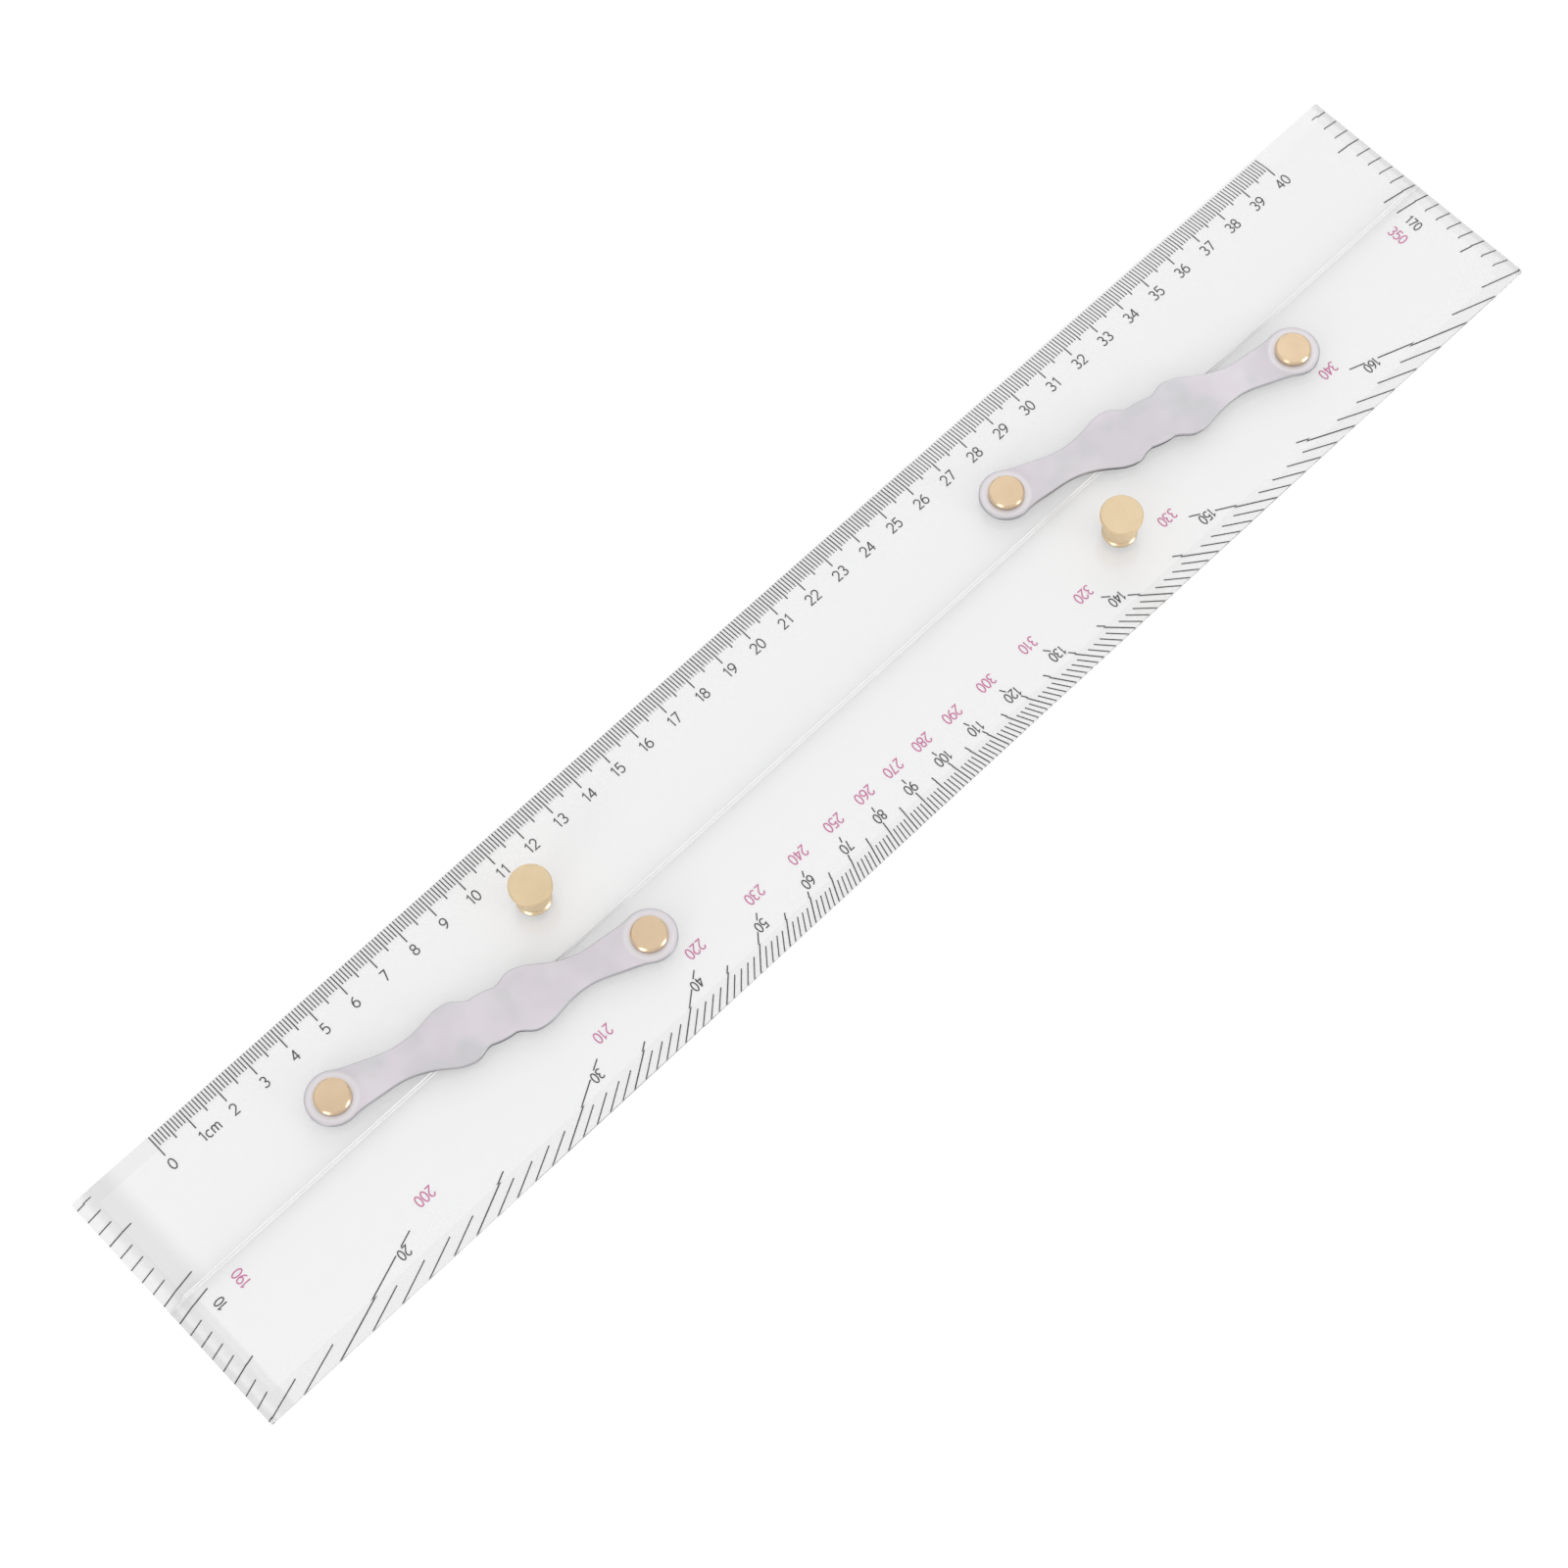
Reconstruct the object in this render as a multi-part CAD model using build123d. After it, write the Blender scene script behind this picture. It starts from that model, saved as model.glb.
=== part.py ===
from build123d import *
import math
import os

# Parallel rulers: two clear rules side by side, joined by two swinging links.
# Frame: millimetres, +Z up, origin on the underside at the centre of the closed pair.
# X runs along the rules. The upper rule lies on the +Y side, the lower rule on the -Y side.

# Rules
rule_length = 450.0
rule_width = 38.0
rule_thickness = 3.0
seam_gap = 0.2
bevel_width = 5.3
bevel_edge_height = 0.9
seam_chamfer = 0.25
corner_radius = 0.4

# Pivots: the lower rule's two are the upper rule's two turned half round about Z
upper_pivots_x = {"left": -161.0, "right": 76.0}
lower_pivots_x = {"left": -76.0, "right": 161.0}
pivot_y = 12.0
link_slant_x = lower_pivots_x["left"] - upper_pivots_x["left"]
link_span = math.hypot(link_slant_x, 2 * pivot_y)
link_angle = -math.degrees(math.atan2(2 * pivot_y, link_slant_x))

# Link plan, measured along the link from its middle and across from its centre line
link_thickness = 1.3
link_end_radius = 7.3
link_blend_angle = 112.0
waist = (0.0, 7.0)
cusp = (3.4, 6.7)
shoulder = (9.3, 8.75)
flank = (16.8, 6.6)
neck = (26.5, 4.5)
neck_taper = (34.0, 5.35)
link_edge_chamfer = 0.25

# Pivot stack, from the rule's top face up
spacer_radius = 5.4
spacer_thickness = 0.3
head_washer_radius = 4.4
head_washer_thickness = 0.2
axial_play = 0.05
running_clearance = 0.05
open_pivot_clearance = 0.10
stud_shoulder_radius = 3.0
stud_head_radius = 4.85
stud_head_height = 1.5
stud_head_chamfer = 0.5
spigot_radius = 2.0
spigot_depth = 1.0
spigot_seat_depth = 1.1

# Screws from the underside, countersunk below the resting face
screw_radius = 1.2
screw_length = 4.2
screw_head_radius = 2.35
screw_recess = 0.15
screw_slot_width = 0.6
screw_slot_depth = 0.55
screw_hole_radius = 1.4
tapped_hole_radius = 1.25
tapped_hole_depth = 3.0
fit_gap = 0.05

# Knobs
knob_x = 89.8
knob_y = 16.3
knob_foot_radius = 4.7
knob_foot_edge_height = 0.7
knob_foot_chamfer = 0.45
knob_stem_top_radius = 5.45
knob_cap_radius = 5.7
knob_cap_thickness = 1.7
knob_height = 10.2
knob_rim_chamfer = 0.3

spacer_top = rule_thickness + spacer_thickness
link_bottom = spacer_top + axial_play
link_top = link_bottom + link_thickness
head_washer_bottom = link_top + axial_play
head_bottom = head_washer_bottom + head_washer_thickness


def revolved(points):
    """Solid of revolution about Z from a closed outline of (radius, height) points."""
    outline = Polyline(*points, close=True)
    return revolve(Plane.XZ * make_face(outline), Axis.Z)


def ring(outer, inner, bottom, thickness):
    return Pos(0, 0, bottom + thickness / 2) * (
        Cylinder(outer, thickness) - Cylinder(inner, thickness)
    )


def fixing_hole():
    """Cut for one stud or knob: spigot seat from above, clearance hole, countersink from below."""
    countersink = screw_head_radius + screw_recess + fit_gap
    spigot_seat = rule_thickness - spigot_seat_depth
    return revolved(
        [
            (0, 0),
            (countersink, 0),
            (screw_hole_radius, countersink - screw_hole_radius),
            (screw_hole_radius, spigot_seat),
            (spigot_radius + fit_gap, spigot_seat),
            (spigot_radius + fit_gap, rule_thickness),
            (0, rule_thickness),
        ]
    )


def plain_rule():
    """One rule on the +Y side: square along the seam, bevelled on its long edge and both ends."""
    inner = seam_gap / 2
    outer = rule_width
    end = rule_length / 2
    across = Polyline(
        (inner, 0),
        (outer, 0),
        (outer, bevel_edge_height),
        (outer - bevel_width, rule_thickness),
        (inner + seam_chamfer, rule_thickness),
        (inner, rule_thickness - seam_chamfer),
        close=True,
    )
    along = Polyline(
        (-end, 0),
        (end, 0),
        (end, bevel_edge_height),
        (end - bevel_width, rule_thickness),
        (-end + bevel_width, rule_thickness),
        (-end, bevel_edge_height),
        close=True,
    )
    long_prism = extrude(Plane.YZ * make_face(across), amount=end, both=True)
    cross_prism = extrude(Plane.XZ * make_face(along), amount=outer * 2, both=True)
    rule = long_prism & cross_prism
    upright_corners = rule.edges().filter_by(Axis.Z).group_by(Axis.Y)[-1]
    return fillet(upright_corners, corner_radius)


def pierced_rule(pivots_x, fixed_knob_x):
    rule = plain_rule()
    for x in pivots_x:
        rule -= Pos(x, pivot_y, 0) * fixing_hole()
    return rule - Pos(fixed_knob_x, knob_y, 0) * fixing_hole()


def link_quarter():
    """Outline of a quarter of the link, from the middle of its edge round to the tip of its end."""
    centre_x = link_span / 2
    blend = math.radians(link_blend_angle)
    blend_point = (
        centre_x + link_end_radius * math.cos(blend),
        link_end_radius * math.sin(blend),
    )
    blend_direction = (math.sin(blend), -math.cos(blend))
    return [
        TangentArc(waist, cusp, tangent=(1, 0)),
        Spline(cusp, shoulder, tangents=[(1, 0.1), (1, 0)]),
        Spline(
            shoulder, flank, neck, neck_taper, blend_point,
            tangents=[(1, 0), blend_direction],
        ),
        CenterArc((centre_x, 0), link_end_radius, 0, link_blend_angle),
    ]


def link(upper_end_clearance):
    """A link between two pivots, centred on the origin along X, its upper-rule end on the -X side."""
    quarter = Wire(link_quarter())
    half = [quarter, mirror(quarter, Plane.XZ)]
    other_half = [mirror(wire, Plane.YZ) for wire in half]
    plan = make_face(Curve() + half + other_half)
    plate = Pos(0, 0, link_bottom) * extrude(plan, amount=link_thickness)
    rims = plate.edges().group_by(Axis.Z)
    plate = chamfer(rims[0] + rims[-1], link_edge_chamfer)
    ends = [(-1, upper_end_clearance), (1, running_clearance)]
    for side, clearance in ends:
        bore = Cylinder(stud_shoulder_radius + clearance, link_thickness)
        plate -= Pos(side * link_span / 2, 0, link_bottom + link_thickness / 2) * bore
    return plate


def tapped_hole():
    bottom = rule_thickness - spigot_depth
    hole = Cylinder(tapped_hole_radius, tapped_hole_depth)
    return Pos(0, 0, bottom + tapped_hole_depth / 2) * hole


def pivot_stud():
    """Brass stud: spigot in the rule, shoulder the link turns on, wide chamfered head."""
    top = head_bottom + stud_head_height
    body = revolved(
        [
            (0, rule_thickness - spigot_depth),
            (spigot_radius, rule_thickness - spigot_depth),
            (spigot_radius, rule_thickness),
            (stud_shoulder_radius, rule_thickness),
            (stud_shoulder_radius, head_bottom),
            (stud_head_radius, head_bottom),
            (stud_head_radius, top - stud_head_chamfer),
            (stud_head_radius - stud_head_chamfer, top),
            (0, top),
        ]
    )
    return body - tapped_hole()


def spacer_washer():
    return ring(
        spacer_radius,
        stud_shoulder_radius + running_clearance,
        rule_thickness,
        spacer_thickness,
    )


def head_washer():
    return ring(
        head_washer_radius,
        stud_shoulder_radius + running_clearance,
        head_washer_bottom,
        head_washer_thickness,
    )


def fixing_screw():
    """Slotted countersunk screw, its head down and just below the rule's underside."""
    cone_top = screw_recess + screw_head_radius - screw_radius
    body = revolved(
        [
            (0, screw_recess),
            (screw_head_radius, screw_recess),
            (screw_radius, cone_top),
            (screw_radius, screw_recess + screw_length),
            (0, screw_recess + screw_length),
        ]
    )
    slot = Box(3 * screw_head_radius, screw_slot_width, 2 * screw_slot_depth)
    return body - Pos(0, 0, screw_recess) * slot


def knob():
    """Brass finger knob: chamfered foot, stem that widens upward and a flat cap with a broken rim."""
    foot_top = rule_thickness + knob_foot_edge_height
    top = rule_thickness + knob_height
    cap_underside = top - knob_cap_thickness
    spigot_bottom = rule_thickness - spigot_depth
    body = revolved(
        [
            (0, spigot_bottom),
            (spigot_radius, spigot_bottom),
            (spigot_radius, rule_thickness),
            (knob_foot_radius, rule_thickness),
            (knob_foot_radius, foot_top),
            (knob_foot_radius - knob_foot_chamfer, foot_top + knob_foot_chamfer),
            (knob_stem_top_radius, cap_underside),
            (knob_cap_radius, cap_underside),
            (knob_cap_radius, top - knob_rim_chamfer),
            (knob_cap_radius - knob_rim_chamfer, top),
            (0, top),
        ]
    )
    return body - tapped_hole()


half_turn = Rot(0, 0, 180)
parts = {
    "upper_rule": pierced_rule(upper_pivots_x.values(), -knob_x),
    "lower_rule": half_turn * pierced_rule([-x for x in lower_pivots_x.values()], -knob_x),
    "upper_knob": Pos(-knob_x, knob_y, 0) * knob(),
    "lower_knob": Pos(knob_x, -knob_y, 0) * knob(),
    "upper_knob_screw": Pos(-knob_x, knob_y, 0) * fixing_screw(),
    "lower_knob_screw": Pos(knob_x, -knob_y, 0) * fixing_screw(),
}

links = {"left": link(running_clearance), "right": link(open_pivot_clearance)}
for side, plate in links.items():
    middle_x = (upper_pivots_x[side] + lower_pivots_x[side]) / 2
    parts[side + "_link"] = Pos(middle_x, 0, 0) * Rot(0, 0, link_angle) * plate
    seats = {
        "_upper_pivot_": Pos(upper_pivots_x[side], pivot_y, 0),
        "_lower_pivot_": Pos(lower_pivots_x[side], -pivot_y, 0),
    }
    for seat_name, seat in seats.items():
        parts[side + seat_name + "stud"] = seat * pivot_stud()
        parts[side + seat_name + "spacer"] = seat * spacer_washer()
        parts[side + seat_name + "head_washer"] = seat * head_washer()
        parts[side + seat_name + "screw"] = seat * fixing_screw()

os.makedirs("parts", exist_ok=True)
for name, shape in parts.items():
    export_step(shape, f"parts/{name}.step")
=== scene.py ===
import math

import bmesh
import bpy
from mathutils import Matrix, Quaternion, Vector


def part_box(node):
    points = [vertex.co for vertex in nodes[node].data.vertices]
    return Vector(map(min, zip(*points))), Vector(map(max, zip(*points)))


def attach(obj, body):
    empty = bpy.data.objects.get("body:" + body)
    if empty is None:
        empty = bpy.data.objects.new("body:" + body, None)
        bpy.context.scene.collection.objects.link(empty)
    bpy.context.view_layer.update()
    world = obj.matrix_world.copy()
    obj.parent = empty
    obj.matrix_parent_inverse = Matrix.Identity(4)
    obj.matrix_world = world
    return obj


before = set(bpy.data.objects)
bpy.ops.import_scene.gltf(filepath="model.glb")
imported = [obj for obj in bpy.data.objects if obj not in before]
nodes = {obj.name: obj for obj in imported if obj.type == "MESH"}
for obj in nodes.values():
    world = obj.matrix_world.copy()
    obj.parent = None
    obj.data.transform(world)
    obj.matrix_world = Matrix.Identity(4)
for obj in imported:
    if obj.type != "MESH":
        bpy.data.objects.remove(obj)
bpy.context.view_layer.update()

# Clear parallel rulers on a white table. Lengths are millimetres, which MM turns into metres, except that
# materials, table and lights use metres.
MM = 0.001


def centre_of(node):
    low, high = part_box(node)
    return (low + high) / 2


# ---------------------------------------------------------------- places from the frame
lower_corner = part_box("lower_rule")[0]
upper_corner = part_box("upper_rule")[1]
END_X = upper_corner.x / MM            # half the rules' length
TOP_Y = upper_corner.y / MM            # outer edge of the upper rule
BOTTOM_Y = lower_corner.y / MM         # outer edge of the lower rule

# ---------------------------------------------------------------- ink layout
INK_BOTTOM = 0.03                      # height of the print above the underside
INK_TOP = 0.07
INK_STEP = 0.005                       # overlapping strokes differ by this much in thickness
EDGE_MARGIN = 0.20                     # ticks stop this far inside an edge
TICK_WIDTH = 0.29
LONG_TICK_WIDTH = 0.33
DIGIT_STROKE = 0.33

UPPER_PRINT_TURN = -0.17               # the upper rule's print lies a little askew, in degrees
CM_ZERO_X = -200.25                    # the centimetre scale is nearly centred on the rule
CM_COUNT = 40
MM_TICK, HALF_CM_TICK, CM_TICK = 4.9, 5.9, 7.4
CM_LABEL_DROP = 10.3                   # label centre below the outer edge
CM_LABEL_HEIGHT = 2.95
CM_LABEL_STRETCH = 0.94

FAN_CENTRE = Vector((-0.15, 36.05))    # the degree lines fan out from here
FIRST_DEGREE, LAST_DEGREE = 10, 170
SINGLE, FIVE, TEN = 0, 1, 2            # kinds of degree line
LONG_EDGE_TICKS = (4.7, 7.4, 12.4)     # how far each kind reaches in from the long edge
SHORT_END_TICKS = (4.8, 7.7, 10.6)     # and from a short end
BLACK_LABEL_IN = 9.1                   # height of a label above the long edge,
BLACK_LABEL_ON_LINE = 10.7             # and the height at which its line has the label's X
MAGENTA_LABEL_IN = 16.2
MAGENTA_LABEL_ON_LINE = 15.2
HUNDREDS_SHIFT = 0.65                  # three-figure labels sit this far to +X
CLEAR_OF_PIVOT = {340: 2.8}            # the label by a link's end sits this much further to +X
END_LABELS = {                         # side: black label's distance in and Y, magenta label's
    -1: ((10.45, -7.0), (18.15, -5.7)),
    1: ((9.75, -7.1), (15.65, -6.7)),
}
BLACK_LABEL_HEIGHT = 2.75
MAGENTA_LABEL_HEIGHT = 2.95
DEGREE_LABEL_STRETCH = 0.8
LABEL_GAP = 0.35                       # clear space between a label and its line
UPPER_END_TEN_Y = 1.7                  # the upper rule's end ticks run from 10 here to 2 above
UPPER_END_PITCH = 4.18


# ---------------------------------------------------------------- strokes and digits
def arc(cx, cy, rx, ry, start, end, steps=14):
    """Points along an ellipse from start to end, in degrees."""
    angles = [math.radians(start + (end - start) * i / steps) for i in range(steps + 1)]
    return [(cx + rx * math.cos(a), cy + ry * math.sin(a)) for a in angles]


# Single-stroke glyphs, one unit high
GLYPHS = {
    "0": [arc(0.31, 0.50, 0.29, 0.50, 90, 450, 24)],
    "1": [[(0.13, 0.80), (0.36, 1.0), (0.36, 0.0)]],
    "2": [arc(0.31, 0.70, 0.28, 0.30, 170, -38) + [(0.03, 0.0), (0.60, 0.0)]],
    "3": [arc(0.30, 0.755, 0.25, 0.245, 150, -90), arc(0.30, 0.26, 0.30, 0.25, 90, -150)],
    "4": [[(0.46, 0.0), (0.46, 1.0)], [(0.46, 1.0), (0.0, 0.28), (0.62, 0.28)]],
    "5": [[(0.56, 1.0), (0.12, 1.0), (0.07, 0.55)] + arc(0.30, 0.32, 0.30, 0.32, 125, -145)],
    "6": [arc(0.31, 0.30, 0.29, 0.30, 90, 450, 20), arc(0.58, 0.30, 0.56, 0.70, 100, 180)],
    "7": [[(0.03, 1.0), (0.59, 1.0), (0.22, 0.0)]],
    "8": [arc(0.31, 0.76, 0.24, 0.24, 90, 450, 18), arc(0.31, 0.26, 0.29, 0.26, 90, 450, 20)],
    "9": [arc(0.31, 0.70, 0.29, 0.30, 90, 450, 20), arc(0.04, 0.70, 0.56, 0.70, 0, -80)],
    "c": [arc(0.28, 0.34, 0.27, 0.34, 50, 310)],
    "m": [
        [(0.02, 0.0), (0.02, 0.68)],
        arc(0.21, 0.48, 0.19, 0.20, 180, 0, 8) + [(0.40, 0.0)],
        arc(0.59, 0.48, 0.19, 0.20, 180, 0, 8) + [(0.78, 0.0)],
    ],
}
GLYPH_WIDTH = {"1": 0.48, "m": 0.80, "c": 0.52}
USUAL_GLYPH_WIDTH = 0.62
GLYPH_GAP = 0.17
UPRIGHT_OF_ONE = 0.75                  # the stem of a 1, as a share of its width
MITRE_LIMIT = 0.5                      # a stroke's corner is at most its width divided by this


def glyph_width(letter):
    return GLYPH_WIDTH.get(letter, USUAL_GLYPH_WIDTH)


def ribbon(bm, points, width, layer=0):
    """Adds a flat inked stroke through the points, as a thin closed prism with square ends."""
    bottom, top = INK_BOTTOM - layer * INK_STEP, INK_TOP + layer * INK_STEP
    path = [Vector(p) for p in points]
    closed = (path[0] - path[-1]).length < 1e-6
    if closed:
        path.pop()
    count = len(path)
    left, right = [], []
    for i, here in enumerate(path):
        before = path[i - 1] if i or closed else here
        after = path[(i + 1) % count] if i < count - 1 or closed else here
        way_in = (here - before).normalized() if here != before else (after - here).normalized()
        way_out = (after - here).normalized() if after != here else way_in
        along = (way_in + way_out).normalized()
        half = width / 2 / max(along.dot(way_out), MITRE_LIMIT)
        side = Vector((-along.y, along.x)) * half
        left.append(here + side)
        right.append(here - side)
    rows = [
        [bm.verts.new((p.x * MM, p.y * MM, z * MM)) for p in line]
        for line, z in ((left, top), (right, top), (right, bottom), (left, bottom))
    ]
    last = count if closed else count - 1
    for i in range(last):
        j = (i + 1) % count
        for a, b in zip(rows, rows[1:] + rows[:1]):
            bm.faces.new((a[i], b[i], b[j], a[j]))
    if not closed:
        bm.faces.new([row[0] for row in reversed(rows)])
        bm.faces.new([row[-1] for row in rows])


def text_width(text, height, stretch):
    units = sum(glyph_width(letter) for letter in text) + GLYPH_GAP * (len(text) - 1)
    return units * height * stretch


def write(bm, text, centre, height, stretch, turn, on_leading_one=False):
    """Inks text centred on a point, or with the stem of its leading 1 there, turned by so many degrees."""
    widths = [glyph_width(letter) for letter in text]
    starts = [sum(widths[:i]) + i * GLYPH_GAP for i in range(len(text))]
    middle = (starts[-1] + widths[-1]) / 2
    if on_leading_one:
        middle = widths[0] * UPRIGHT_OF_ONE
    place = Matrix.Rotation(math.radians(turn), 2)
    for letter, start in zip(text, starts):
        for layer, stroke in enumerate(GLYPHS[letter], 1):
            local = [Vector(((x + start - middle) * stretch, y - 0.5)) * height for x, y in stroke]
            ribbon(bm, [centre + place @ p for p in local], DIGIT_STROKE, layer)


def inked(name, bm, body, material):
    """Turns a bmesh into a piece that rides on a body."""
    bmesh.ops.recalc_face_normals(bm, faces=bm.faces)
    mesh = bpy.data.meshes.new(name)
    bm.to_mesh(mesh)
    bm.free()
    piece = bpy.data.objects.new(name, mesh)
    bpy.context.scene.collection.objects.link(piece)
    mesh.materials.append(material)
    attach(piece, body)
    return piece


# ---------------------------------------------------------------- node helpers
def new_material(name):
    material = bpy.data.materials.new(name)
    material.use_nodes = True
    tree = material.node_tree
    shader = tree.nodes["Principled BSDF"]
    return material, tree, shader


def add(tree, kind, inputs=None, **settings):
    """New node; each input is a plain value or another node's output."""
    node = tree.nodes.new(kind)
    for key, value in settings.items():
        setattr(node, key, value)
    for key, value in (inputs or {}).items():
        if isinstance(value, bpy.types.NodeSocket):
            tree.links.new(value, node.inputs[key])
        else:
            node.inputs[key].default_value = value
    return node


def object_point(tree):
    return add(tree, "ShaderNodeTexCoord").outputs["Object"]


def noise(tree, vector, scale, detail):
    node = add(tree, "ShaderNodeTexNoise", {"Vector": vector, "Scale": scale, "Detail": detail})
    return node.outputs["Fac"]


def ramp(tree, value, low, high):
    """Maps 0..1 onto low..high."""
    node = add(tree, "ShaderNodeMapRange", {"Value": value})
    node.inputs["To Min"].default_value = low
    node.inputs["To Max"].default_value = high
    return node.outputs["Result"]


def colour_between(tree, value, low, high):
    """Mixes two colours, each a plain colour or another node's output."""
    node = add(tree, "ShaderNodeMix", {"Factor": value}, data_type="RGBA")
    for key, colour in (("A", low), ("B", high)):
        if isinstance(colour, bpy.types.NodeSocket):
            tree.links.new(colour, node.inputs[key])
        else:
            node.inputs[key].default_value = (*colour, 1)
    return node.outputs["Result"]


def stretched(tree, vector, scale, turn=0.0):
    """Scales the point after turning it about Z by -turn degrees, for a grain that runs one way."""
    turned = add(tree, "ShaderNodeMapping", {"Vector": vector}, vector_type="POINT")
    turned.inputs["Rotation"].default_value = (0, 0, math.radians(-turn))
    sized = add(tree, "ShaderNodeMapping", {"Vector": turned.outputs["Vector"]})
    sized.inputs["Scale"].default_value = scale
    return sized.outputs["Vector"]


def band(tree, value, low, high, to_low=0.0, to_high=1.0):
    """Rises smoothly from to_low to to_high as the value goes from low to high."""
    node = add(tree, "ShaderNodeMapRange", {"Value": value}, interpolation_type="SMOOTHSTEP")
    node.inputs["From Min"].default_value = low
    node.inputs["From Max"].default_value = high
    node.inputs["To Min"].default_value = to_low
    node.inputs["To Max"].default_value = to_high
    return node.outputs["Result"]


def maths(tree, operation, first, second=None):
    node = add(tree, "ShaderNodeMath", operation=operation)
    for socket, value in zip(node.inputs, (first, second)):
        if isinstance(value, bpy.types.NodeSocket):
            tree.links.new(value, socket)
        elif value is not None:
            socket.default_value = value
    return node.outputs["Value"]


def axis(tree, vector, letter):
    return add(tree, "ShaderNodeSeparateXYZ", {"Vector": vector}).outputs[letter]


def radius_from(tree, point, centre):
    """Distance from the upright axis through a centre."""
    moved = add(tree, "ShaderNodeMapping", {"Vector": point})
    moved.inputs["Location"].default_value = (-centre.x, -centre.y, 0)
    flat = add(tree, "ShaderNodeVectorMath", operation="MULTIPLY")
    tree.links.new(moved.outputs["Vector"], flat.inputs[0])
    flat.inputs[1].default_value = (1, 1, 0)
    radius = add(tree, "ShaderNodeVectorMath", operation="LENGTH")
    tree.links.new(flat.outputs["Vector"], radius.inputs[0])
    return radius.outputs["Value"]


def tilt(tree):
    """1 on faces that look straight up or down, 0 on upright walls."""
    normal = add(tree, "ShaderNodeTexCoord").outputs["Normal"]
    return maths(tree, "ABSOLUTE", axis(tree, normal, "Z"))


def mixed(tree, factor, first, second):
    node = add(tree, "ShaderNodeMixShader")
    tree.links.new(factor, node.inputs["Fac"])
    tree.links.new(first, node.inputs[1])
    tree.links.new(second, node.inputs[2])
    return node.outputs["Shader"]


def grey_between(tree, value, low, high):
    return colour_between(tree, value, (low, low, low), (high, high, high))


def bump(tree, height, strength, distance):
    node = add(tree, "ShaderNodeBump", {"Height": height, "Strength": strength})
    node.inputs["Distance"].default_value = distance
    return node.outputs["Normal"]


# ---------------------------------------------------------------- materials
MOST_GLASS_BOUNCES = 4.5               # light caught between the faces longer than this leaves straight
ACRYLIC_GREY, ACRYLIC_IOR = 0.872, 1.49
SEAM_REACH = 0.0005                    # metres from the seam within which an edge is sawn
SAWN_WHITE = (0.86, 0.86, 0.86, 1)
CLEAR_PASSES, SAWN_PASSES = 0.97, 0.72                  # share of light let through to the table
WALL_SHADE, BEVEL_SHADE, RIM_SHADE = 0.45, 0.075, 0.13     # share of painted shade at walls, bevels and end rims, taken off the colour
# Each zone runs from where it starts to where it is full, in metres from an end
RIM_ZONE = (0.0025, 0.0012)
END_BEVEL_ZONE = (0.0055, 0.0040)
END_SHADE_PAST_RIM = (0.0020, 0.0042)
# Painted soft shade inside the -X end: where it starts, where it is full, and its strength; then how far the
# painted shade is kept off the bevel of that end, which leaves the bevel lighter
END_LOOKS = {
    "upper_rule": (0.0145, 0.0085, 0.125, 1.0),
    "lower_rule": (0.0080, 0.0065, 0.090, 0.0),
}


def end_losses(tree, point, bevel, end_shade_start, end_shade_full, end_shade, brightness):
    """Painted shade on bevels and at the ends, as a share taken off the colour: a painted dark rim on each
    end, and a painted soft shade inside the -X end.
    """
    along = axis(tree, point, "X")
    from_end = maths(tree, "SUBTRACT", END_X * MM, maths(tree, "ABSOLUTE", along))
    on_left = band(tree, along, 0.0, -0.001)
    # painted light: at the -X end the painted shade is lifted off the bevel by brightness
    bright = maths(tree, "MULTIPLY", on_left, band(tree, from_end, *END_BEVEL_ZONE, 0.0, brightness))
    edges = maths(tree, "ADD", bevel, band(tree, from_end, *RIM_ZONE, 0.0, RIM_SHADE))
    edges = maths(tree, "MULTIPLY", edges, maths(tree, "SUBTRACT", 1.0, bright))
    # painted shade: a soft band inside the -X end
    soft_mask = maths(tree, "MULTIPLY", band(tree, from_end, end_shade_start, end_shade_full), on_left)
    soft_mask = maths(tree, "MULTIPLY", soft_mask, band(tree, from_end, *END_SHADE_PAST_RIM, 0.0, end_shade))
    return maths(tree, "ADD", edges, soft_mask)


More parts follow.
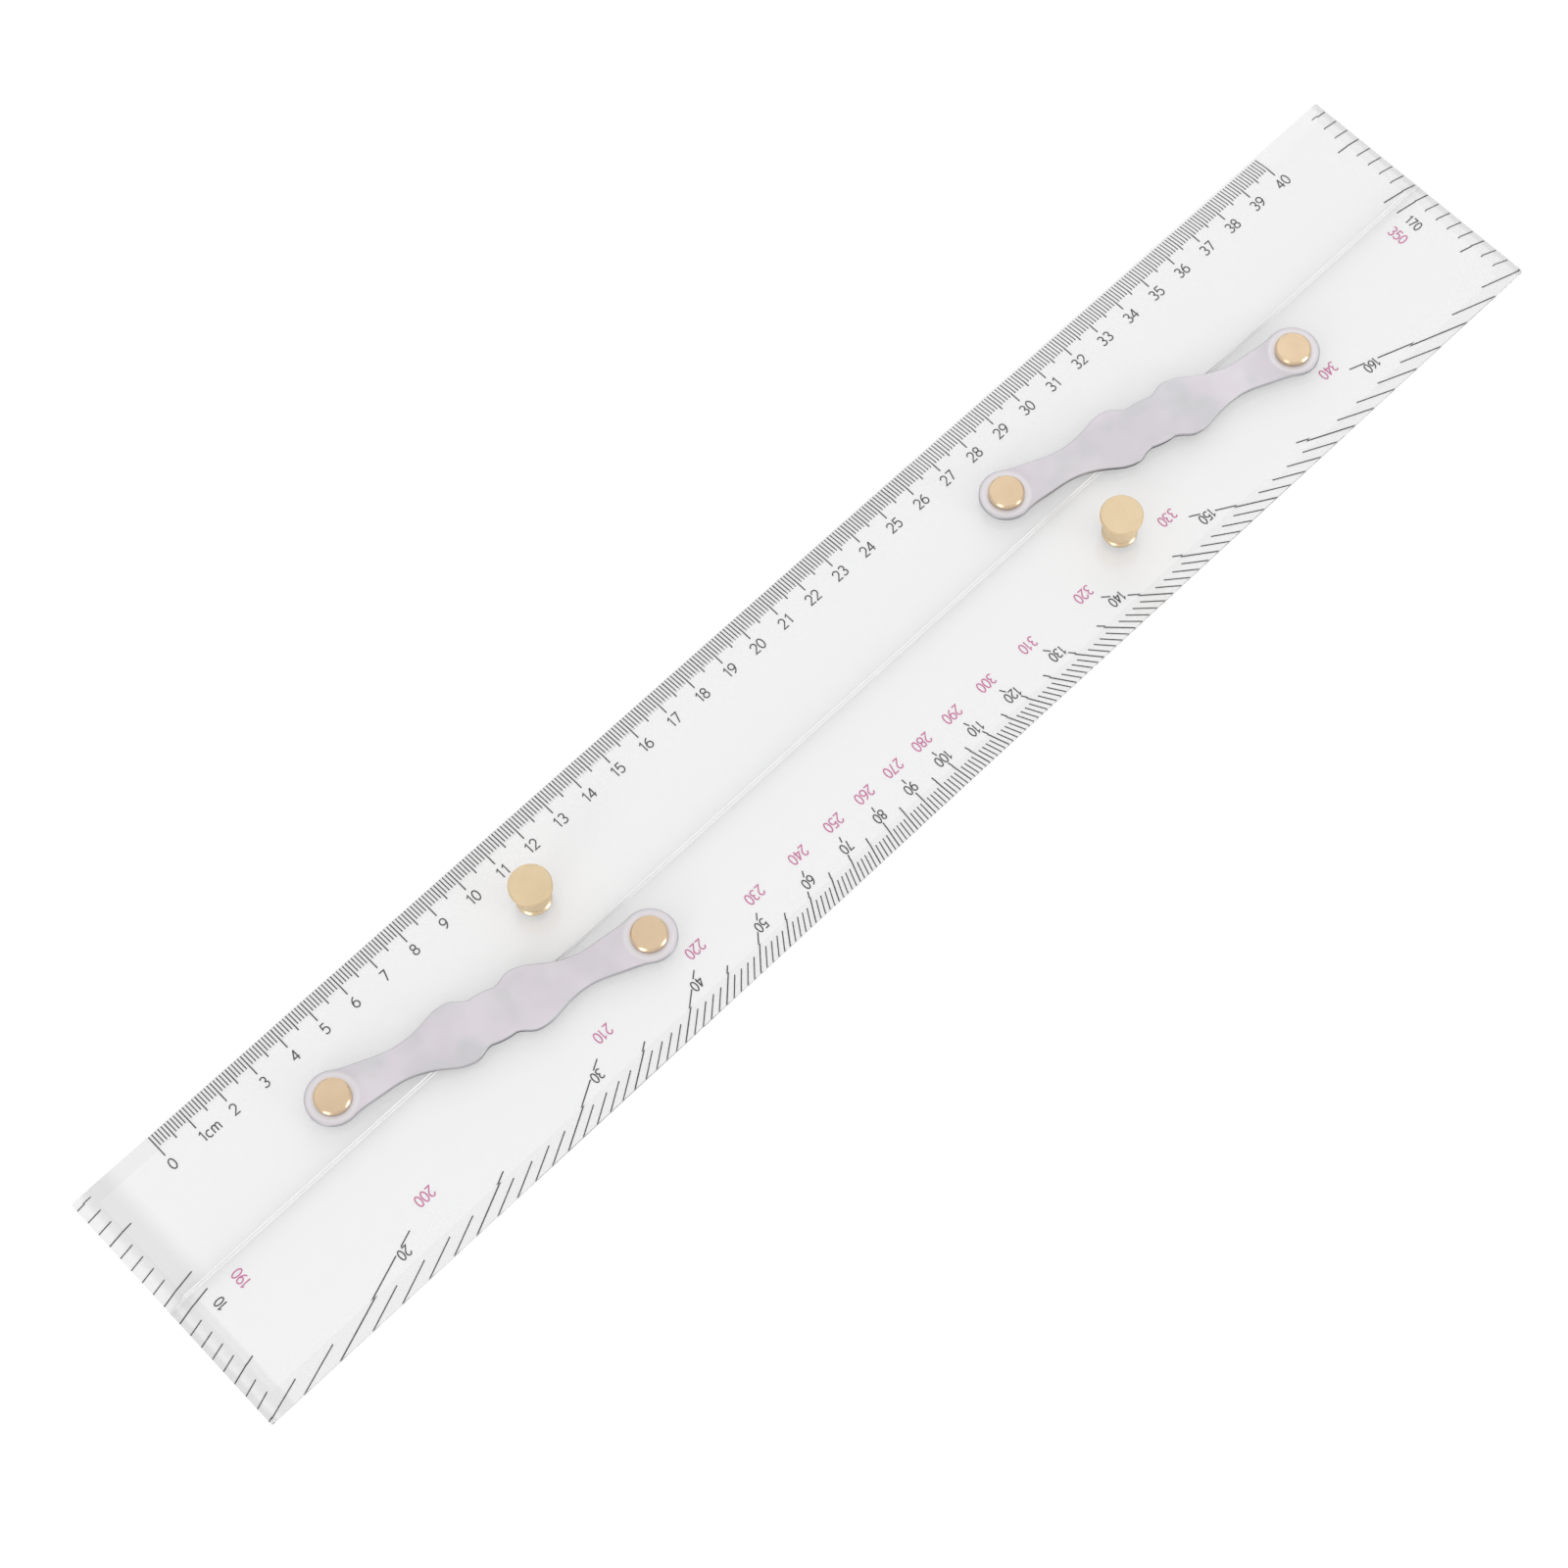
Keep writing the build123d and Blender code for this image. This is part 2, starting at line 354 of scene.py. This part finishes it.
def acrylic(name, end_look):
    """Clear polished sheet: real refraction for the eye, and light passes through to the table.
    The two sawn edges that meet at the seam are matt; walls, bevels and ends carry painted shade in the
    colour, with a painted soft shade inside the -X end."""
    material, tree, glass = new_material(name)
    point = object_point(tree)
    rise = tilt(tree)
    from_seam = maths(tree, "ABSOLUTE", axis(tree, point, "Y"))
    seam_side = band(tree, from_seam, SEAM_REACH, 0.8 * SEAM_REACH)
    sawn = maths(tree, "MULTIPLY", band(tree, rise, 0.90, 0.80), seam_side)
    # painted shade: upright walls and bevels are darkened in the base colour, as are the ends
    wall = band(tree, rise, 0.5, 0.3, 0.0, WALL_SHADE)
    bevel = band(tree, rise, 0.99, 0.96, 0.0, BEVEL_SHADE)
    painted_shade = maths(tree, "MAXIMUM", wall, end_losses(tree, point, bevel, *end_look))
    tree.links.new(grey_between(tree, painted_shade, ACRYLIC_GREY, 0.0), glass.inputs["Base Color"])
    glass.inputs["Transmission Weight"].default_value = 1.0
    glass.inputs["IOR"].default_value = ACRYLIC_IOR
    handling = noise(tree, stretched(tree, point, (9, 60, 60)), 6.0, 4.0)
    tree.links.new(ramp(tree, handling, 0.0, 0.05), glass.inputs["Roughness"])
    waviness = noise(tree, point, 18.0, 1.0)
    tree.links.new(bump(tree, waviness, 0.05, 0.0004), glass.inputs["Normal"])
    matt = add(tree, "ShaderNodeBsdfDiffuse", {"Color": SAWN_WHITE}).outputs["BSDF"]
    seen = mixed(tree, sawn, glass.outputs["BSDF"], matt)
    clear = add(tree, "ShaderNodeBsdfTransparent")
    tree.links.new(grey_between(tree, sawn, CLEAR_PASSES, SAWN_PASSES), clear.inputs["Color"])
    path = add(tree, "ShaderNodeLightPath")
    trapped = maths(tree, "GREATER_THAN", path.outputs["Ray Depth"], MOST_GLASS_BOUNCES)
    passes = maths(tree, "MAXIMUM", path.outputs["Is Shadow Ray"], path.outputs["Is Diffuse Ray"])
    passes = maths(tree, "MAXIMUM", passes, trapped)
    whole = mixed(tree, passes, seen, clear.outputs["BSDF"])
    tree.links.new(whole, tree.nodes["Material Output"].inputs["Surface"])
    return material


LINK_GREY, LINK_LILAC, LINK_BLUSH = (0.51, 0.51, 0.525), (0.63, 0.60, 0.63), (0.615, 0.55, 0.60)
# painted light: a paler ring round each stud head, out to this radius
RING_PAINTED_LIGHT, RING_LIGHT_RADIUS = (0.69, 0.665, 0.69), 0.0071
# painted shade on the cut edges: deepest patches, upright walls and chamfers
EDGE_DEEP_SHADE, EDGE_WALL_SHADE, EDGE_CHAMFER_SHADE = (0.07, 0.07, 0.075), (0.38, 0.375, 0.39), (0.42, 0.41, 0.43)


def anodised(name, turn, pivots):
    """Satin lilac-grey metal, softly mottled, with a faint grain along the link. Its cut edges are darkened
    with painted shade, and a painted light ring makes it paler round the stud heads."""
    material, tree, shader = new_material(name)
    point = object_point(tree)
    soft_mask = band(tree, noise(tree, point, 60.0, 2.0), 0.35, 0.65)
    blush = maths(tree, "MULTIPLY", band(tree, noise(tree, point, 110.0, 2.0), 0.35, 0.65), 0.5)
    face = colour_between(tree, soft_mask, LINK_GREY, LINK_LILAC)
    face = colour_between(tree, blush, face, LINK_BLUSH)
    # painted light: the face is paler within a ring round each pivot
    for pivot in pivots:
        lit_ring = band(tree, radius_from(tree, point, pivot), RING_LIGHT_RADIUS, 0.85 * RING_LIGHT_RADIUS)
        face = colour_between(tree, lit_ring, face, RING_PAINTED_LIGHT)
    # painted shade: the cut edges are darkened in the base colour, in patches along the upright walls
    patchy_shade = band(tree, noise(tree, point, 45.0, 1.0), 0.40, 0.56)
    wall = colour_between(tree, patchy_shade, EDGE_DEEP_SHADE, EDGE_WALL_SHADE)
    edge = colour_between(tree, band(tree, tilt(tree), 0.1, 0.6), wall, EDGE_CHAMFER_SHADE)
    whole = colour_between(tree, band(tree, tilt(tree), 0.75, 0.95), edge, face)
    tree.links.new(whole, shader.inputs["Base Color"])
    shader.inputs["Metallic"].default_value = 0.35
    grain = noise(tree, stretched(tree, point, (60, 900, 900), turn), 3.0, 3.0)
    tree.links.new(ramp(tree, grain, 0.30, 0.46), shader.inputs["Roughness"])
    tree.links.new(bump(tree, grain, 0.12, 0.00005), shader.inputs["Normal"])
    return material


LATHE_PITCH = 0.00028                  # metres between the rings that a lathe leaves


def turned_brass(name, centre, colour_low, colour_high):
    """Brass with the fine rings a lathe leaves round its own axis."""
    material, tree, shader = new_material(name)
    point = object_point(tree)
    rings = add(tree, "ShaderNodeTexNoise", noise_dimensions="1D")
    tree.links.new(radius_from(tree, point, centre), rings.inputs["W"])
    rings.inputs["Scale"].default_value = 1 / LATHE_PITCH
    rings.inputs["Detail"].default_value = 2.0
    tarnish = noise(tree, point, 140.0, 3.0)
    tree.links.new(colour_between(tree, tarnish, colour_low, colour_high), shader.inputs["Base Color"])
    shader.inputs["Metallic"].default_value = 1.0
    tree.links.new(ramp(tree, rings.outputs["Fac"], 0.22, 0.40), shader.inputs["Roughness"])
    tree.links.new(bump(tree, rings.outputs["Fac"], 0.25, 0.00002), shader.inputs["Normal"])
    return material


def satin_walls(material, above):
    """Gives a turned part a satin rim and satin walls above a height, the walls paler with painted light;
    flat faces stay as they are.
    """
    tree = material.node_tree
    shader = tree.nodes["Principled BSDF"]
    colour, roughness = (shader.inputs[key].links[0].from_socket for key in ("Base Color", "Roughness"))
    high_up = band(tree, axis(tree, object_point(tree), "Z"), above, above + 0.0002)
    walls = maths(tree, "MULTIPLY", high_up, band(tree, tilt(tree), 0.5, 0.3))
    # painted light: walls above the foot take the paler brass colour
    tree.links.new(colour_between(tree, walls, colour, PAINTED_LIGHT_BRASS), shader.inputs["Base Color"])
    slanted = maths(tree, "MULTIPLY", high_up, band(tree, tilt(tree), 0.95, 0.80))
    satin = maths(tree, "MULTIPLY", slanted, SATIN_ROUGHNESS)
    tree.links.new(maths(tree, "MAXIMUM", roughness, satin), shader.inputs["Roughness"])
    return material


NYLON_DARK, NYLON_LIGHT = (0.74, 0.73, 0.71), (0.82, 0.81, 0.79)


def nylon(name):
    material, tree, shader = new_material(name)
    point = object_point(tree)
    soft_mask = noise(tree, point, 300.0, 2.0)
    tint = colour_between(tree, soft_mask, NYLON_DARK, NYLON_LIGHT)
    tree.links.new(tint, shader.inputs["Base Color"])
    tree.links.new(ramp(tree, soft_mask, 0.45, 0.6), shader.inputs["Roughness"])
    shader.inputs["Subsurface Weight"].default_value = 0.1
    shader.inputs["Subsurface Radius"].default_value = (0.0006, 0.0006, 0.0005)
    return material


def ink(name, thin, thick):
    """Printed ink, a little uneven along each stroke."""
    material, tree, shader = new_material(name)
    cover = noise(tree, object_point(tree), 900.0, 2.0)
    tree.links.new(colour_between(tree, cover, thick, thin), shader.inputs["Base Color"])
    tree.links.new(ramp(tree, cover, 0.5, 0.7), shader.inputs["Roughness"])
    return material


def paint(node, material):
    slots = nodes[node].data.materials
    for i in range(len(slots)):
        slots[i] = material
    if not slots:
        slots.append(material)


link_slant = centre_of("left_lower_pivot_stud") - centre_of("left_upper_pivot_stud")
link_turn = math.degrees(math.atan2(link_slant.y, link_slant.x))
BRASS_DARK, BRASS_LIGHT = (0.62, 0.46, 0.30), (0.73, 0.575, 0.40)
KNOB_DARK, KNOB_LIGHT = (0.65, 0.50, 0.31), (0.76, 0.62, 0.42)
# the walls' paler colour is painted light; their roughness is a real satin finish
PAINTED_LIGHT_BRASS, SATIN_ROUGHNESS = (0.84, 0.69, 0.47), 0.65
KNOB_FOOT_TOP = 0.0042                 # metres above the table
SCREW_DARK, SCREW_LIGHT = (0.54, 0.40, 0.24), (0.66, 0.51, 0.33)
washer_material = nylon("nylon")
for node in sorted(nodes):
    if node.endswith("_rule"):
        paint(node, acrylic("acrylic_" + node, END_LOOKS[node]))
    elif node.endswith("_link"):
        side = node.removesuffix("_link")
        pivots = [centre_of(f"{side}_{end}_pivot_stud") for end in ("upper", "lower")]
        paint(node, anodised("anodised_" + node, link_turn, pivots))
    elif node.endswith("_screw"):
        paint(node, turned_brass("brass_" + node, centre_of(node), SCREW_DARK, SCREW_LIGHT))
    elif node.endswith("_knob"):
        brass = turned_brass("brass_" + node, centre_of(node), KNOB_DARK, KNOB_LIGHT)
        paint(node, satin_walls(brass, KNOB_FOOT_TOP))
    elif node.endswith("_stud"):
        paint(node, turned_brass("brass_" + node, centre_of(node), BRASS_DARK, BRASS_LIGHT))
    else:
        paint(node, washer_material)

black_ink = ink("black_ink", (0.045, 0.045, 0.05), (0.012, 0.012, 0.015))
magenta_ink = ink("magenta_ink", (0.62, 0.17, 0.36), (0.48, 0.08, 0.25))


# ---------------------------------------------------------------- centimetre scale
def askew(bm):
    """Turns the upper rule's print slightly about the middle of the rule."""
    turn = Matrix.Rotation(math.radians(UPPER_PRINT_TURN), 3, "Z")
    bmesh.ops.rotate(bm, cent=(0, TOP_Y / 2 * MM, 0), matrix=turn, verts=bm.verts)


def top_of_tick(x):
    """Outer end of a centimetre tick, kept on the rule at -X, where the askew print would overhang."""
    overhang = x * math.tan(math.radians(UPPER_PRINT_TURN))
    return TOP_Y - EDGE_MARGIN - max(overhang, 0.0)


def centimetre_scale():
    ticks, digits = bmesh.new(), bmesh.new()
    for i in range(CM_COUNT * 10 + 1):
        x = CM_ZERO_X + i
        length = CM_TICK if i % 10 == 0 else HALF_CM_TICK if i % 5 == 0 else MM_TICK
        width = LONG_TICK_WIDTH if i % 5 == 0 else TICK_WIDTH
        ribbon(ticks, [(x, top_of_tick(x)), (x, TOP_Y - length)], width)
    for cm in range(CM_COUNT + 1):
        at = Vector((CM_ZERO_X + 10 * cm, TOP_Y - CM_LABEL_DROP))
        if cm == 1:
            write(digits, "1cm", at, CM_LABEL_HEIGHT, CM_LABEL_STRETCH, 0, on_leading_one=True)
        else:
            write(digits, str(cm), at, CM_LABEL_HEIGHT, CM_LABEL_STRETCH, 0)
    askew(ticks)
    askew(digits)
    inked("centimetre_ticks", ticks, "upper_rule", black_ink)
    inked("centimetre_numbers", digits, "upper_rule", black_ink)


# ---------------------------------------------------------------- degree scale
def fan_direction(degree):
    """Unit vector from the fan centre: 0 points along -X and 90 along -Y."""
    return Vector((-math.cos(math.radians(degree)), -math.sin(math.radians(degree))))


def on_long_edge(degree, height):
    """Point of a degree line so high above the lower rule's long edge."""
    way = fan_direction(degree)
    return FAN_CENTRE + way * ((BOTTOM_Y + height - FAN_CENTRE.y) / way.y)


def on_short_end(degree, inward):
    """Point of a degree line so far in from the end that it runs to."""
    way = fan_direction(degree)
    end = math.copysign(END_X - inward, way.x)
    return FAN_CENTRE + way * ((end - FAN_CENTRE.x) / way.x)


def at_edge(degree):
    """Where a degree line starts, just inside whichever edge it meets first."""
    low, end = on_long_edge(degree, EDGE_MARGIN), on_short_end(degree, EDGE_MARGIN)
    return low if abs(low.x) < abs(end.x) else end


def on_line(degree, height, label_height):
    """Label centre, label_height above the long edge and at the X that its line has at height."""
    shift = HUNDREDS_SHIFT if degree >= 100 else 0.0
    return Vector((on_long_edge(degree % 180, height).x + shift, BOTTOM_Y + label_height))


NEARLY_UPRIGHT = 0.1                   # a line steeper than this leaves a label only by its top and bottom


def gap_in_line(degree, centre, text):
    """Heights between which a degree line would run through its own label."""
    half_wide = text_width(text, BLACK_LABEL_HEIGHT, DEGREE_LABEL_STRETCH) / 2 + LABEL_GAP
    half_high = BLACK_LABEL_HEIGHT / 2 + LABEL_GAP
    low, high = BLACK_LABEL_IN - half_high, BLACK_LABEL_IN + half_high
    way = fan_direction(degree)
    if abs(way.x) > NEARLY_UPRIGHT:
        slope = way.y / way.x
        offset = centre.x - on_long_edge(degree, BLACK_LABEL_IN).x
        heights = [BLACK_LABEL_IN + slope * (offset + side * half_wide) for side in (-1, 1)]
        low, high = max(low, min(heights)), min(high, max(heights))
    return low, high


def long_edge_line(ticks, black, magenta, degree):
    """A ten-degree line on the long edge with its two labels."""
    text = str(degree)
    at = on_line(degree, BLACK_LABEL_ON_LINE, BLACK_LABEL_IN)
    low, high = gap_in_line(degree, at, text)
    ribbon(ticks, [on_long_edge(degree, EDGE_MARGIN), on_long_edge(degree, low)], LONG_TICK_WIDTH)
    ribbon(ticks, [on_long_edge(degree, high), on_long_edge(degree, LONG_EDGE_TICKS[TEN])], LONG_TICK_WIDTH)
    write(black, text, at, BLACK_LABEL_HEIGHT, DEGREE_LABEL_STRETCH, 180)
    at = on_line(degree + 180, MAGENTA_LABEL_ON_LINE, MAGENTA_LABEL_IN)
    at.x += CLEAR_OF_PIVOT.get(degree + 180, 0.0)
    write(magenta, str(degree + 180), at, MAGENTA_LABEL_HEIGHT, DEGREE_LABEL_STRETCH, 180)


def kind_of(degree):
    return TEN if degree % 10 == 0 else FIVE if degree % 5 == 0 else SINGLE


def width_of(kind):
    return TICK_WIDTH if kind == SINGLE else LONG_TICK_WIDTH


def short_end_labels(black, magenta):
    """The first and last ten-degree numbers stand at the short ends, turned to face along the rule."""
    for side, degree in ((-1, FIRST_DEGREE), (1, LAST_DEGREE)):
        black_place, magenta_place = END_LABELS[side]
        for bm, value, height, (inward, y) in (
            (black, degree, BLACK_LABEL_HEIGHT, black_place),
            (magenta, degree + 180, MAGENTA_LABEL_HEIGHT, magenta_place),
        ):
            at = Vector((side * (END_X - inward), y))
            write(bm, str(value), at, height, DEGREE_LABEL_STRETCH, -90 * side)


def degree_scale():
    ticks, black, magenta = bmesh.new(), bmesh.new(), bmesh.new()
    for degree in range(FIRST_DEGREE, LAST_DEGREE + 1):
        kind = kind_of(degree)
        reaches_end = abs(on_long_edge(degree, LONG_EDGE_TICKS[SINGLE]).x) > END_X
        if reaches_end:
            inner = on_short_end(degree, SHORT_END_TICKS[kind])
            ribbon(ticks, [at_edge(degree), inner], width_of(kind))
        elif kind == TEN:
            long_edge_line(ticks, black, magenta, degree)
        else:
            inner = on_long_edge(degree, LONG_EDGE_TICKS[kind])
            ribbon(ticks, [at_edge(degree), inner], width_of(kind))
    short_end_labels(black, magenta)
    inked("degree_ticks", ticks, "lower_rule", black_ink)
    inked("degree_numbers_black", black, "lower_rule", black_ink)
    inked("degree_numbers_magenta", magenta, "lower_rule", magenta_ink)


def upper_end_ticks():
    ticks = bmesh.new()
    for side in (-1, 1):
        for degree in range(2, 11):
            slope = math.tan(math.radians(degree))
            y = UPPER_END_TEN_Y + UPPER_END_PITCH * (10 - degree)
            length = SHORT_END_TICKS[kind_of(degree)]
            outer = Vector((side * (END_X - EDGE_MARGIN), y))
            inner = Vector((side * (END_X - length), y + slope * (length - EDGE_MARGIN)))
            ribbon(ticks, [outer, inner], width_of(kind_of(degree)))
    askew(ticks)
    inked("upper_end_ticks", ticks, "upper_rule", black_ink)


centimetre_scale()
degree_scale()
upper_end_ticks()


# ---------------------------------------------------------------- table, lights and camera
TABLE_HALF = 15.0                      # metres; large enough to fill a low view
TABLE_TOP = -0.00006                   # just clear of the rules' undersides
TABLE_GREY, TABLE_GLOW = 0.60, 0.36    # a glow of its own keeps the table white and its shadows pale
LIGHTS = {                             # place, width and height in metres; watts
    "key": ((1.7, 1.7, 1.5), 2.15, 14.0),
    "left_window": ((-1.54, -0.43, 0.58), 0.5, 4.5),
    "right_window": ((0.70, -1.46, 0.50), 0.5, 4.5),
}
SKY_LOW, SKY_HIGH, SKY_STRENGTH = (0.80, 0.80, 0.81, 1), (1.0, 1.0, 1.0, 1), 1.05
CAMERA_TARGET = (-22.15, -4.8, 0.0)
CAMERA_DISTANCE = 874.0
CAMERA_AZIMUTH, CAMERA_ELEVATION, CAMERA_ROLL = -39.5, 67.6, -4.85
CAMERA_LENS = 78.0


def table():
    bm = bmesh.new()
    corners = [(-1, -1), (1, -1), (1, 1), (-1, 1)]
    bm.faces.new([bm.verts.new((x * TABLE_HALF, y * TABLE_HALF, TABLE_TOP)) for x, y in corners])
    mesh = bpy.data.meshes.new("table")
    bm.to_mesh(mesh)
    bm.free()
    floor = bpy.data.objects.new("table", mesh)
    bpy.context.scene.collection.objects.link(floor)
    material, tree, shader = new_material("white_table")
    shader.inputs["Base Color"].default_value = (TABLE_GREY, TABLE_GREY, TABLE_GREY, 1)
    shader.inputs["Emission Color"].default_value = (1.0, 1.0, 1.0, 1)
    shader.inputs["Emission Strength"].default_value = TABLE_GLOW
    shader.inputs["Roughness"].default_value = 0.9
    shader.inputs["Specular IOR Level"].default_value = 0.0
    mesh.materials.append(material)


def studio():
    """Near-white surroundings, a little brighter overhead, and the soft lights."""
    world = bpy.data.worlds.new("studio")
    bpy.context.scene.world = world
    world.use_nodes = True
    tree = world.node_tree
    background = tree.nodes["Background"]
    way = add(tree, "ShaderNodeTexCoord").outputs["Generated"]
    height = add(tree, "ShaderNodeSeparateXYZ", {"Vector": way}).outputs["Z"]
    glow = add(tree, "ShaderNodeValToRGB", {"Fac": height})
    glow.color_ramp.elements[0].color = SKY_LOW
    glow.color_ramp.elements[1].color = SKY_HIGH
    tree.links.new(glow.outputs["Color"], background.inputs["Color"])
    background.inputs["Strength"].default_value = SKY_STRENGTH
    for name, (place, size, watts) in LIGHTS.items():
        softbox(name, Vector(place), size, watts)


def softbox(name, place, size, watts):
    """A square soft light that faces the rulers."""
    light = bpy.data.lights.new(name, "AREA")
    light.shape = "SQUARE"
    light.size = size
    light.energy = watts
    lamp = bpy.data.objects.new(name, light)
    lamp.location = place
    lamp.rotation_mode = "QUATERNION"
    lamp.rotation_quaternion = (-place).to_track_quat("-Z", "Y")
    bpy.context.scene.collection.objects.link(lamp)


def camera():
    """Looks down on the rulers from the lower left, rolled a little."""
    target = Vector(CAMERA_TARGET) * MM
    azimuth = math.radians(CAMERA_AZIMUTH)
    elevation = math.radians(CAMERA_ELEVATION)
    back = Vector((
        math.sin(azimuth) * math.cos(elevation),
        -math.cos(azimuth) * math.cos(elevation),
        math.sin(elevation),
    ))
    data = bpy.data.cameras.new("camera")
    data.lens = CAMERA_LENS
    data.sensor_width = 36.0
    data.clip_start, data.clip_end = 0.01, 50.0
    eye = bpy.data.objects.new("camera", data)
    eye.location = target + back * (CAMERA_DISTANCE * MM)
    eye.rotation_mode = "QUATERNION"
    level = (-back).to_track_quat("-Z", "Y")
    eye.rotation_quaternion = level @ Quaternion((0, 0, 1), math.radians(CAMERA_ROLL))
    bpy.context.scene.collection.objects.link(eye)
    bpy.context.scene.camera = eye


table()
studio()
camera()
bpy.context.scene.view_settings.view_transform = "Standard"
